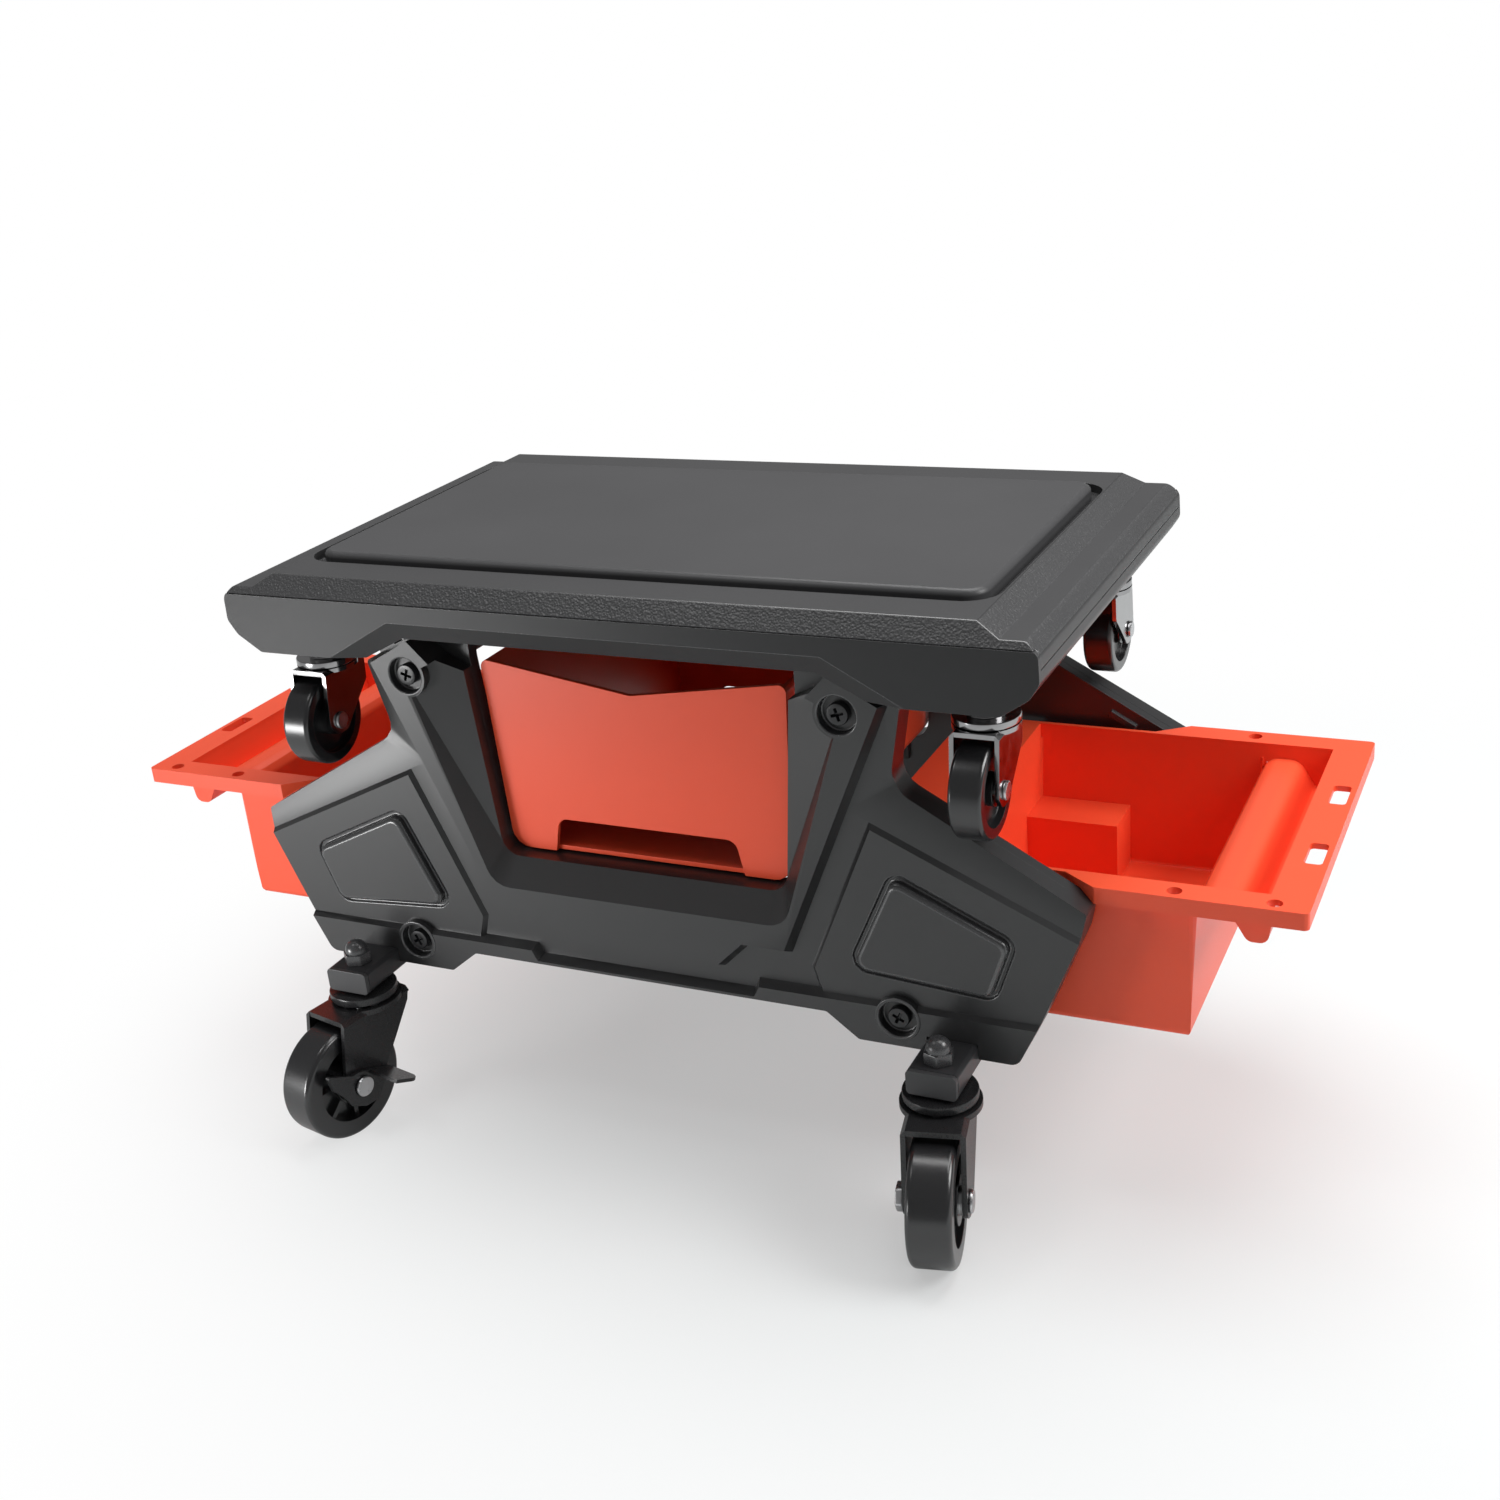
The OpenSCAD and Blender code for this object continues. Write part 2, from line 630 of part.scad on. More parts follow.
// Corners of an inset plate as shares of the place of the knee
plate_shares = [[0.851, 0.892], [0.606, 1.055], [0.505, 0.747], [0.806, 0.714]];
plate_corners = [for (s = plate_shares) [s.x * knee_x, s.y * knee_z]];
plate_groove = 2.6;
plate_sink = 1.5;
plate_r = 5;
screw_boss_r = 11.8;
screw_r = 2.6;
screw_head_r = 5.6;
counterbore_r = 9.6;
counterbore_d = 5;

module leg_plate() {
    low_y = face_y - plate_sink;
    hull() {
        slab(low_y, face_y + plate_h - plate_sink) polygon(rounded(plate_corners, plate_r));
        slab(low_y, face_y + plate_h) polygon(rounded(inset(plate_corners, plate_sink), plate_r));
    }
}

module plate_pocket() {
    slab(face_y - plate_sink, face_y + over)
        polygon(rounded(inset(plate_corners, -plate_groove), plate_r + plate_groove));
}

module panel_layer(y0, y1) {
    intersection() {
        slab(y0, y1) polygon(outer_outline);
        slab(y0 - over, y1 + over) children();
    }
}

module screw_boss(p, y1) {
    panel_layer(seam_y, y1) translate(p) circle(screw_boss_r);
}

module outer_shell() {
    difference() {
        union() {
            difference() {
                union() {
                    difference() {
                        slab(seam_y, base_y) polygon(outer_outline);
                        both_sides() leg_bands();
                    }
                    both_sides() raised(field_outline, field_h, face_y);
                    raised(inset(both_halves(rim_half), -rim_slope), rim_slope, rim_y);
                    both_sides() raised(skirt_outline, skirt_slope, rim_y);
                }
                window_cut();
                both_sides() plate_pocket();
            }
            both_sides() leg_plate();
            both_sides() panel_layer(seam_y, rim_y) polygon(tab_face);
            both_sides() screw_boss(upper_screw, rim_y);
            both_sides() screw_boss(lower_screw, rim_y + over / 2);
        }
        both_sides() for (p = [upper_screw, lower_screw]) {
            slab(seam_y - over, rim_y) translate(p) circle(screw_r);
            slab(rim_y - counterbore_d, rim_y + 2 * over) translate(p) circle(counterbore_r);
        }
        both_sides() translate([foot_x, -(seam_y + edge_t), 0]) rod(screw_r, foot_top_z - over, ledge_z);
    }
}

ledge_t = 3;
ledge_reach = 3.6;
ledge_end_x = 223;
runner_z = 162;
nub_d = 2;
nub_w = 4;
nub_l = 16;
nub_inset = 10;
nub_share = 0.42;
nub = knee + nub_share * (crook - knee);

module inner_shell() {
    difference() {
        union() {
            slab(panel_gap / 2, seam_y)
                polygon(rounded(both_halves(inner_half), concat(inner_r, reverse(inner_r))));
            both_sides() slab(panel_gap / 2 - ledge_reach, panel_gap / 2)
                translate([tray_box_in_x, runner_z - ledge_t]) square([ledge_end_x - tray_box_in_x, ledge_t]);
            both_sides() slab(panel_gap / 2 - nub_d, panel_gap / 2)
                polygon(strip(nub, unit(knee - crook), -nub_inset, nub_w - nub_inset, 0, nub_l));
        }
        window_cut();
        both_sides() for (p = [upper_screw, lower_screw])
            slab(panel_gap / 2 - over, seam_y + over) translate(p) circle(screw_r);
    }
}

module front_outer_shell() { color(charcoal) outer_shell(); }
module front_inner_shell() { color(charcoal) inner_shell(); }
module rear_outer_shell() { color(charcoal) mirror([0, 1, 0]) outer_shell(); }
module rear_inner_shell() { color(charcoal) mirror([0, 1, 0]) inner_shell(); }

module panel_screws() {
    seat_y = rim_y - counterbore_d;
    color(dark) four_corners() for (p = [upper_screw, lower_screw]) {
        slab(panel_gap / 2 - 4 * screw_r, seat_y) translate(p) circle(screw_r);
        slab(seat_y, seat_y + counterbore_d * 0.8) translate(p) circle(screw_head_r);
    }
}

tie_r = 8;

module tie_rods(p) {
    both_sides() difference() {
        slab(-panel_gap / 2, panel_gap / 2) translate(p) circle(tie_r);
        both_ends() slab(panel_gap / 2 - 5 * screw_r, panel_gap / 2 + over) translate(p) circle(screw_r);
    }
}

module upper_tie_rods() { color(dark) tie_rods(upper_screw); }
module lower_tie_rods() { color(dark) tie_rods(lower_screw); }

// Parts bin and the cradle that it slides on

cradle_t = 3;
cradle_half_w = bin_low_w / 2 - bin_r;
cradle_end_h = 14;
bin_setback = 1;
bin_half_l = seam_y - bin_setback;
slot_r = 6;

module bin_cradle() {
    top = bin_z - clear;
    color(dark) {
        plate(top - cradle_t, top) square([2 * cradle_half_w, panel_gap], center = true);
        both_ends() slab(panel_gap / 2 - cradle_t, panel_gap / 2)
            translate([-cradle_half_w, top - cradle_end_h]) square([2 * cradle_half_w, cradle_end_h]);
        both_sides() slab(-panel_gap / 2, panel_gap / 2)
            translate([cradle_half_w / 2, top - 2 * cradle_t]) square([cradle_t, 2 * cradle_t]);
    }
}

bin_outline = both_halves([[bin_low_w / 2, bin_z], [bin_top_w / 2, bin_z + bin_h]]);
bin_top_r = 4;
bin_corner_r = [bin_r, bin_top_r, bin_top_r, bin_r];

module bin_body() {
    slab(-bin_half_l, bin_half_l) polygon(rounded(bin_outline, bin_corner_r));
}

module bin_hollow() {
    inner = inset(bin_outline, bin_wall);
    mouth = [bin_top_w / 2 - bin_wall, bin_z + bin_h + over];
    open = [inner[0], mouth, [-mouth.x, mouth.y], inner[3]];
    slab(-bin_half_l + bin_wall, bin_half_l - bin_wall)
        polygon(rounded(open, [bin_r - bin_wall, 0, 0, bin_r - bin_wall]));
}

module parts_bin() {
    top = bin_z + bin_h;
    slot = both_halves([[bin_slot_x, bin_z - over], [bin_slot_x - bin_top_r, bin_z + bin_slot_h]]);
    notch_x = bin_top_w / 2 - bin_top_r;
    notch = both_halves([[0, top - bin_notch], [notch_x, top], [notch_x, top + over]]);
    color(orange) difference() {
        bin_body();
        bin_hollow();
        both_ends() slab(bin_half_l - bin_wall, bin_half_l + over)
            polygon(rounded(slot, [0, slot_r, slot_r, 0]));
        both_ends() slab(bin_half_l - bin_wall - over, bin_half_l + over) polygon(notch);
    }
}

// Trays

tray_base_z = 93.2;
tray_end_lean = 2.4;
tray_ridge_z = 163.5;
tray_lug_z = 149.6;
tray_opening_x = tray_end_x - tray_rim_w;
tray_lug_x = tray_opening_x + tray_wall;
lug_w = 9;
lug_lean = 3.3;
tray_corner_r = 5;
flange_low_z = tray_top_z - tray_flange_t;
ridge_l = 15;
tray_draft = 1.5;
tray_low_w = tray_box_w - 2 * tray_draft;
wide_start_x = 216.2;
wide_x = 233;

// Section of the box in X and Z: the box, the ridge beside it and the trough along the outer rim
function tray_profile(top) = [
    [tray_box_in_x, tray_base_z], [tray_box_out_x - tray_end_lean, tray_base_z],
    [tray_box_out_x, tray_ridge_z], [tray_box_out_x + ridge_l, tray_ridge_z],
    [tray_lug_x - lug_lean - lug_w, tray_lug_z], [tray_lug_x - lug_lean, tray_lug_z],
    [tray_lug_x, flange_low_z], [tray_lug_x, top], [tray_box_in_x, top]
];
tray_profile_r = [4, 4, 6, 7, 4.2, 4.2, 0, 0, 0];
hollow_profile_r = [2, 2, 8, 9, 2.4, 2.4, 0, 0, 0];
tray_cross_r = [4, 4, 0, 0];
hollow_cross_r = [2, 2, 0, 0];
function tray_cross(top) = [[-tray_low_w / 2, tray_base_z], [tray_low_w / 2, tray_base_z],
    [tray_box_w / 2, top], [-tray_box_w / 2, top]];

// Rounds the upright corners of the box up to the ridge, and keeps all that stands over or beside it
module tray_reach(shrink, top) {
    low = tray_base_z;
    corner = [tray_box_out_x - shrink, tray_ridge_z + shrink];
    box = rectangle(tray_box_out_x - tray_box_in_x - 2 * shrink, tray_box_w - 2 * shrink);
    translate([(tray_box_in_x + tray_box_out_x) / 2, 0]) plate(low, corner.y + over)
        polygon(rounded(box, tray_corner_r - shrink));
    slab(-tray_box_w / 2, tray_box_w / 2) polygon([
        [corner.x, low], [tray_lug_x, low], [tray_lug_x, top], [tray_box_in_x, top],
        [tray_box_in_x, corner.y], corner
    ]);
}

module tray_box() {
    open = tray_top_z + tray_wall + over;
    difference() {
        intersection() {
            slab(-tray_box_w / 2, tray_box_w / 2) polygon(rounded(tray_profile(tray_top_z), tray_profile_r));
            beam(tray_box_in_x, tray_lug_x) polygon(rounded(tray_cross(tray_top_z), tray_cross_r));
            tray_reach(0, tray_top_z);
        }
        tray_hollow(open);
    }
}

module tray_hollow(open) {
    intersection() {
        slab(-tray_box_w / 2, tray_box_w / 2)
            polygon(rounded(inset(tray_profile(open), tray_wall), hollow_profile_r));
        beam(tray_box_in_x, tray_lug_x) polygon(rounded(inset(tray_cross(open), tray_wall), hollow_cross_r));
        tray_reach(tray_wall, open);
    }
}

flange_right = [
    [tray_inner_x, -tray_box_w / 2], [wide_start_x, -tray_box_w / 2], [wide_x, -tray_flange_w / 2],
    [tray_end_x, -tray_flange_w / 2], [tray_end_x, tray_flange_w / 2], [wide_x, tray_flange_w / 2],
    [wide_start_x, tray_box_w / 2], [tray_inner_x, tray_box_w / 2]
];
flange_r = [2, 0, 0, 2.5, 2.5, 0, 0, 2];
skirt_low_z = tray_top_z - tray_skirt_h;
slot_l = 22;
slot_w = 8.5;
slot_places = [28.5, -39];
slot_inset = 7;
hole_x = [268.5, 313];
hole_inset = 6.5;
hole_y = tray_flange_w / 2 - hole_inset;
step_x = 203;
step_y = 55;
step_z = 130;

module tray_flange() {
    plate(flange_low_z, tray_top_z) polygon(rounded(flange_right, flange_r));
    difference() {
        plate(skirt_low_z, tray_top_z) polygon(rounded(flange_right, flange_r));
        plate(skirt_low_z - over, flange_low_z) polygon(rounded(inset(flange_right, tray_wall), 2));
        // The turned-down edge stops in line with the slope of the panel's leg
        slab(-tray_flange_w, tray_flange_w) polygon([
            [0, skirt_low_z - over], [knee_x + clear, skirt_low_z - over], [knee_x + clear, knee_z],
            [knee_x + clear - (flange_low_z - knee_z) / slope_rise, flange_low_z], [0, flange_low_z]
        ]);
    }
    lip = 2 * tray_flange_t;
    plate(flange_low_z - lip, tray_top_z)
        translate([tray_inner_x, -tray_box_w / 2 + lip]) square([tray_wall, tray_box_w - 2 * lip]);
}

slope_rise = (crook_z - knee_z) / (knee_x - crook_x);

module tray_runner() {
    both_ends() slab(tray_low_w / 2 - tray_wall / 2, panel_gap / 2 - clear)
        translate([tray_box_in_x, runner_z + clear]) square([wide_start_x - tray_box_in_x, ledge_t]);
}

// The tray at the right-hand end; side is -1 where its slots are turned about for the left-hand end
module tray(side) {
    open = tray_top_z + tray_wall + over;
    step = [step_x, tray_box_w, step_z];
    difference() {
        union() {
            tray_box();
            difference() {
                union() {
                    tray_flange();
                    tray_runner();
                }
                tray_hollow(open);
            }
            difference() {
                intersection() {
                    tray_hollow(open);
                    translate([tray_box_in_x, step_y, tray_base_z])
                        cube(step - [tray_box_in_x, 0, tray_base_z]);
                }
                translate([tray_box_in_x, step_y + tray_wall, tray_base_z - over])
                    cube(step - [tray_box_in_x + tray_wall, 0, tray_base_z + tray_wall - over]);
            }
        }
        for (y = slot_places) translate([tray_end_x - slot_inset, side * y, 0])
            plate(flange_low_z - over, tray_top_z + over) polygon(rounded(rectangle(slot_w, slot_l), 2));
        for (x = hole_x) translate([x, -hole_y]) rod(tray_hole_r, flange_low_z - over, tray_top_z + over);
        translate([hole_x[0], hole_y]) rod(tray_hole_r, flange_low_z - over, tray_top_z + over);
    }
}

module right_tray() { color(orange) tray(1); }
module left_tray() { color(orange) mirror([1, 0, 0]) tray(-1); }

// Foot tubes and their fittings

foot_r = 2.4;
cap_t = 3;
cap_plug = 3.2;
hex_r = 7.8;
hex_h = 6.5;
dome_r = 6.1;
dome_z = 7.6;
dome_h = 5.6;
stud_r = 4;
stud_rise = 10;
stud_top_z = foot_top_z + stud_rise;
caster_y = foot_l / 2 - caster_inset;
tube_base_z = foot_top_z - foot_h;
tube_l = foot_l - 2 * cap_t;

module tube_section(shrink) {
    centre = [0, foot_top_z - foot_h / 2];
    polygon(rounded([for (p = rectangle(foot_w - 2 * shrink, foot_h - 2 * shrink)) p + centre],
        foot_r - shrink));
}

module foot_tube(side) {
    color(black_steel) translate([side * foot_x, 0, 0]) difference() {
        slab(-tube_l / 2, tube_l / 2) tube_section(0);
        slab(-tube_l, tube_l) tube_section(foot_wall);
        both_ends() {
            translate([0, caster_y]) rod(stud_r, tube_base_z - over, foot_top_z + over);
            translate([0, seam_y + edge_t]) rod(screw_r, tube_base_z - over, foot_top_z + over);
        }
    }
}

module left_foot_tube() { foot_tube(-1); }
module right_foot_tube() { foot_tube(1); }

module foot_tube_caps() {
    color(dark) four_corners() translate([foot_x, 0, 0]) {
        slab(tube_l / 2, foot_l / 2) tube_section(0);
        slab(tube_l / 2 - cap_plug, tube_l / 2) tube_section(foot_wall);
    }
}

module foot_tube_screws() {
    color(dark) four_corners() translate([foot_x, seam_y + edge_t]) {
        rod(screw_r, tube_base_z, ledge_z - 2 * over);
        rod(2 * screw_r, tube_base_z - screw_r, tube_base_z);
    }
}

// Large casters

crown_t = 3;
sheet_t = 2.5;
race_r = 18.5;
race_t = 4.5;
crown_r = 20;
neck_r = 9;
stud_head_r = 7;
stud_head_h = 2.4;
ball_r = 2.4;
ball_ring_r = 13;
balls = 10;
groove_fit = 0.08;
neck_h = 1.5;
race_gap = 1.5;
race_z = tube_base_z - neck_h - race_t;
crown_z = race_z - race_gap;
wheel_gap = 1.9;
inner_w = wheel_w + 2 * wheel_gap;
bush_r = 7;
hub_r = 12;
rim_share = 0.68;
web_share = 0.4;
ribs = 8;
axle_head_r = 5.8;
axle_nut_r = 7.5;
fork_rear_x = -18;
fork_front_x = 29;
fork_low = [[-42, 31.5], [-30, 14.5], [-13, -8.5], [-2, -10], [9, -4.5], [7.5, 11.5]];
fork_low_r = [4, 8, 5, 7, 8, 6];

module at_caster(i) {
    s = corner_sides[i];
    translate([s.x * foot_x, s.y * caster_y, 0]) rotate([0, 0, corner_turns[i]]) children();
}

module ball_groove() {
    rotate_extrude() translate([ball_ring_r, crown_z + race_gap / 2]) circle(ball_r + groove_fit, $fn = 32);
}

module caster_studs() {
    head_z = crown_z - crown_t - clear;
    color(black_steel) for (i = [0:3]) at_caster(i) difference() {
        union() {
            rod(stud_r, head_z, stud_top_z);
            rod(neck_r, race_z, tube_base_z);
            rod(race_r, race_z, race_z + race_t);
            rod(stud_head_r, head_z - stud_head_h, head_z);
        }
        ball_groove();
    }
}

module caster_balls() {
    color(steel) for (i = [0:3], k = [1:balls]) at_caster(i) rotate([0, 0, k * 360 / balls])
        translate([ball_ring_r, 0, crown_z + race_gap / 2]) sphere(ball_r, $fn = 24);
}

// A shallow dome on the nut, from its axis out to the rim and back over the top
dome_steps = 6;
dome_section = concat([[0, -over]], [for (k = [0:dome_steps]) let (a = 90 * k / dome_steps)
    [dome_r * cos(a), dome_h * sin(a)]]);

module caster_cap_nuts() {
    color(dark) for (i = [0:3]) at_caster(i) difference() {
        union() {
            translate([0, 0, foot_top_z]) cylinder(r = hex_r, h = hex_h, $fn = 6);
            rod(dome_r, foot_top_z, foot_top_z + dome_z);
            translate([0, 0, foot_top_z + dome_z]) rotate_extrude() polygon(dome_section);
        }
        rod(stud_r, foot_top_z - over, stud_top_z);
    }
}

module large_fork(i) {
    color(black_steel) at_caster(i) difference() {
        fork(fork_rear_x, fork_front_x, fork_low, fork_low_r, [trail, wheel_r], crown_z, crown_t, inner_w,
            sheet_t, crown_r, stud_r, axle_r);
        ball_groove();
    }
}

lever_t = 2.5;

module large_axle(i) {
    reach = inner_w / 2 + sheet_t;
    head_y = reach + (corner_names[i] == "front_left" ? lever_t + 2 * clear : 0);
    color(steel) at_caster(i) translate([trail, 0, wheel_r]) {
        slab(-head_y, reach + axle_r) circle(axle_r);
        slab(-head_y - axle_r / 2, -head_y) circle(axle_head_r);
        slab(reach, reach + axle_r) circle(axle_nut_r, $fn = 6);
    }
}

module large_wheel(i) {
    color(dark) at_caster(i) translate([trail, 0, wheel_r])
        wheel(wheel_r, wheel_w, bush_r, hub_r, rim_share, web_share, ribs);
}

module bush(i) {
    reach = inner_w / 2 - clear;
    color(steel) at_caster(i) translate([trail, 0, wheel_r]) difference() {
        slab(-reach, reach) circle(bush_r);
        slab(-reach - over, reach + over) circle(axle_r + run_fit);
    }
}

// The lever beside the wheel, by distance ahead of the axle and height over it
lever_arm = [
    [22, 17], [6, 9], [2, 9], [-6, 7], [-22, 0], [-14, -6], [-9, -13], [0, -13], [9.5, -8], [13.6, 0],
    [19.4, 7]
];
lever_arm_r = [1, 3, 3, 3, 1, 3, 3, 3, 3, 3, 3];
pedal_front = lever_arm[3];
pedal_rear = lever_arm[4];
pedal_w = 24;
pedal_t = 2;
pedal_r = 6;

module brake_lever() {
    inner = inner_w / 2 + sheet_t + clear;
    long = norm(pedal_front - pedal_rear);
    fall = atan2(pedal_front.y - pedal_rear.y, pedal_front.x - pedal_rear.x);
    color(dark) at_caster(1) translate([trail, 0, wheel_r]) {
        difference() {
            slab(-inner - lever_t, -inner) polygon(rounded(lever_arm, lever_arm_r));
            slab(-inner - lever_t - over, -inner + over) circle(axle_r + run_fit);
        }
        translate([pedal_rear.x, inner, pedal_rear.y]) rotate([0, -fall, 0])
            translate([long / 2, pedal_w / 2, -pedal_t]) linear_extrude(pedal_t)
                polygon(rounded(rectangle(long, pedal_w), [0, 0, 0, pedal_r]));
    }
}

seat_top_shell();
seat_bottom_shell();
seat_panel();
seat_screws();
small_caster_stems();
front_outer_shell();
front_inner_shell();
rear_outer_shell();
rear_inner_shell();
panel_screws();
upper_tie_rods();
lower_tie_rods();
bin_cradle();
parts_bin();
left_tray();
right_tray();
left_foot_tube();
right_foot_tube();
foot_tube_caps();
foot_tube_screws();
caster_studs();
caster_cap_nuts();
caster_balls();
for (i = [0:3]) {
    large_fork(i);
    large_axle(i);
    large_wheel(i);
    bush(i);
    small_fork(i);
    small_axle(i);
    small_wheel(i);
}
brake_lever();
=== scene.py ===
"""A rolling mechanic's seat with a parts bin and two tool trays, dressed for a studio picture."""
import json
import math

import bmesh
import bpy
from mathutils import Matrix, Vector


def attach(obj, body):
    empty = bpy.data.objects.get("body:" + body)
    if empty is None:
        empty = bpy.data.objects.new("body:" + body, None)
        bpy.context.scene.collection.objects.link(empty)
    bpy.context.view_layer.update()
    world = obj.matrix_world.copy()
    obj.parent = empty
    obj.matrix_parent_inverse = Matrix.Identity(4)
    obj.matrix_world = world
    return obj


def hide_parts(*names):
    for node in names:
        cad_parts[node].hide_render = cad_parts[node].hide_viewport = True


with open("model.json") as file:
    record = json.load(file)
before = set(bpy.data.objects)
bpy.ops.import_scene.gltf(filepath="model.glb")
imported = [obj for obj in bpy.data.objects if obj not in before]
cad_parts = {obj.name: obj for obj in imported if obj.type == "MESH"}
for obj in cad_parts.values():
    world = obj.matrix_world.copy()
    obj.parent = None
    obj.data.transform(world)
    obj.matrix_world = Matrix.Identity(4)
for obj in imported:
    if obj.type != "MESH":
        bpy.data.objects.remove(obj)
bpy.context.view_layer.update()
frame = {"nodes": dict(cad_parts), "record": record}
MM = 0.001

# Studio: a white sweep under a white sky, a camera a little above the seat in front of its
# right-hand end, and soft boxes overhead, at the right, low at the left and high in front.


class Wire:
    """The output of a shader node. An operator on it adds the math node to its tree."""

    def __init__(self, tree, socket):
        self.tree = tree
        self.socket = socket

    def math(self, operation, *values):
        return put(self.tree, "ShaderNodeMath", {"operation": operation}, *values)

    def __add__(self, other):
        return self.math("ADD", self, other)

    def __sub__(self, other):
        return self.math("SUBTRACT", self, other)

    def __mul__(self, other):
        return self.math("MULTIPLY", self, other)

    __radd__ = __add__


def put(tree, kind, settings, *values, output=0, **named):
    """Adds a node, sets it up, feeds its sockets in order or by name, and gives one output."""
    node = tree.nodes.new(kind)
    for key, value in settings.items():
        setattr(node, key, value)
    pairs = list(zip(node.inputs, values))
    pairs += [(node.inputs[key.replace("_", " ")], value) for key, value in named.items()]
    for socket, value in pairs:
        if isinstance(value, Wire):
            tree.links.new(value.socket, socket)
        else:
            socket.default_value = value
    return Wire(tree, node.outputs[output]) if node.outputs else None


def seen(tree, mirrored):
    """1 on rays from the camera, less on mirrored ones, 0 on the rays that carry light."""
    eye, shine, through = [
        put(tree, "ShaderNodeLightPath", {}, output="Is " + kind + " Ray")
        for kind in ("Camera", "Glossy", "Transmission")]
    return eye.math("MAXIMUM", eye, eye.math("MAXIMUM", shine * mirrored, through))


WHITE = (1, 1, 1, 1)
SKY_LIGHT, SKY_MIRRORED = 0.2, 0.05  # of the white that the camera sees
world = bpy.data.worlds.new("studio")
world.use_nodes = True
bpy.context.scene.world = world
bpy.context.scene.view_settings.view_transform = "Standard"
sky = world.node_tree
sky.nodes.clear()
strength = seen(sky, SKY_MIRRORED) * (1 - SKY_LIGHT) + SKY_LIGHT
put(sky, "ShaderNodeOutputWorld", {}, put(sky, "ShaderNodeBackground", {}, WHITE, strength))

CAMERA_PLACE = Vector((442.53, -840.66, 572.69)) * MM
AZIMUTH, ELEVATION, ROLL = (math.radians(a) for a in (27.04, 22.65, -5.25))
FOCAL_PX, FRAME_PX, SENSOR_MM = 1862.36, 1500, 36
back = Vector((
    math.sin(AZIMUTH) * math.cos(ELEVATION),
    -math.cos(AZIMUTH) * math.cos(ELEVATION),
    math.sin(ELEVATION),
))
right = Vector((0, 0, 1)).cross(back).normalized()
up = back.cross(right)
turned_right = right * math.cos(ROLL) + up * math.sin(ROLL)
turned_up = up * math.cos(ROLL) - right * math.sin(ROLL)
camera = bpy.data.objects.new("camera", bpy.data.cameras.new("camera"))
bpy.context.scene.collection.objects.link(camera)
camera.data.sensor_width = SENSOR_MM
camera.data.lens = FOCAL_PX / FRAME_PX * SENSOR_MM
camera.matrix_world = Matrix((turned_right, turned_up, back)).transposed().to_4x4()
camera.matrix_world.translation = CAMERA_PLACE
bpy.context.scene.camera = camera

# Name, place, aim and size in metres, power in watts, spread in degrees.
SOFT_BOXES = [
    ("overhead", (0.1, 0.35, 1.7), (0, 0.05, 0.2), (1.5, 1.0), 24, 180),
    ("right", (1.35, 0.1, 1.1), (0.2, 0, 0.15), (0.8, 0.7), 15, 180),
    ("left", (-0.65, -0.75, 0.1), (-0.22, -0.1, 0.1), (0.35, 0.2), 0.4, 46),
    ("edge", (-0.45, -0.5, 1.25), (0, 0, 0.25), (0.3, 0.12), 1.2, 180),
]
for name, place, aim, size, power, spread in SOFT_BOXES:
    lamp = bpy.data.lights.new(name, "AREA")
    lamp.shape = "RECTANGLE"
    lamp.size, lamp.size_y = size
    lamp.energy = power
    lamp.spread = math.radians(spread)
    lit = bpy.data.objects.new(name, lamp)
    bpy.context.scene.collection.objects.link(lit)
    lit.location = place
    lit.rotation_euler = (Vector(aim) - Vector(place)).to_track_quat("-Z", "Y").to_euler()

# The sweep keeps the object's shadow near its centre and fades to plain white farther out.
SWEEP_HALF = 6
SHADOW_CENTRE = (0.15, 0.06, 0)
SHADOW_REACH, WHITE_REACH, SHADOW_GLOW = 0.22, 0.62, 0.43
FLOOR_MIRRORED = 0.3
PAPER = (0.75, 0.78, 0.78, 1)
floor_mesh = bpy.data.meshes.new("floor")
sweep = bmesh.new()
bmesh.ops.create_grid(sweep, x_segments=1, y_segments=1, size=SWEEP_HALF)
sweep.to_mesh(floor_mesh)
sweep.free()
floor = bpy.data.objects.new("floor", floor_mesh)
bpy.context.scene.collection.objects.link(floor)
paper = bpy.data.materials.new("paper")
paper.use_nodes = True
tree = paper.node_tree
tree.nodes.clear()
matt = put(tree, "ShaderNodeBsdfDiffuse", {}, PAPER)
glow = put(tree, "ShaderNodeEmission", {}, WHITE, 1.0)
spot = put(tree, "ShaderNodeTexCoord", {}, output="Object")
away = put(tree, "ShaderNodeVectorMath", {"operation": "SUBTRACT"}, spot, SHADOW_CENTRE)
reach = put(tree, "ShaderNodeVectorMath", {"operation": "LENGTH"}, away, output="Value")
fade = put(
    tree, "ShaderNodeMapRange", {"interpolation_type": "SMOOTHSTEP"},
    reach, SHADOW_REACH, WHITE_REACH, SHADOW_GLOW, 1.0)
shown = put(tree, "ShaderNodeMixShader", {}, seen(tree, FLOOR_MIRRORED) * fade, matt, glow)
put(tree, "ShaderNodeOutputMaterial", {}, shown)
floor_mesh.materials.append(paper)

# Seat shells: two black mouldings that meet at a seam, with softly rounded, polished edges painted
# in a lighter tone as a highlight.
# The sloping bands round the top carry a coarse leather grain, and the rim inside them is fine.
# Both are painted in lighter tones than the sides, as painted light on the top faces. A smooth
# panel lies in a groove on top.
record = frame["record"]
SLOTS = {part["node"]: part["material_slot"] for part in record["subparts"]}
BODIES = {node: body for body, group in record["behaviour"]["bodies"].items() for node in group}
MERGE = 0.005 * MM
FLAT_DEG, ARRIS_DEG, SHARP_DEG = 0.3, 24, 35  # merged flat, rounded and shaded sharp
BODY_FACE, ARRIS_FACE = 0, 1


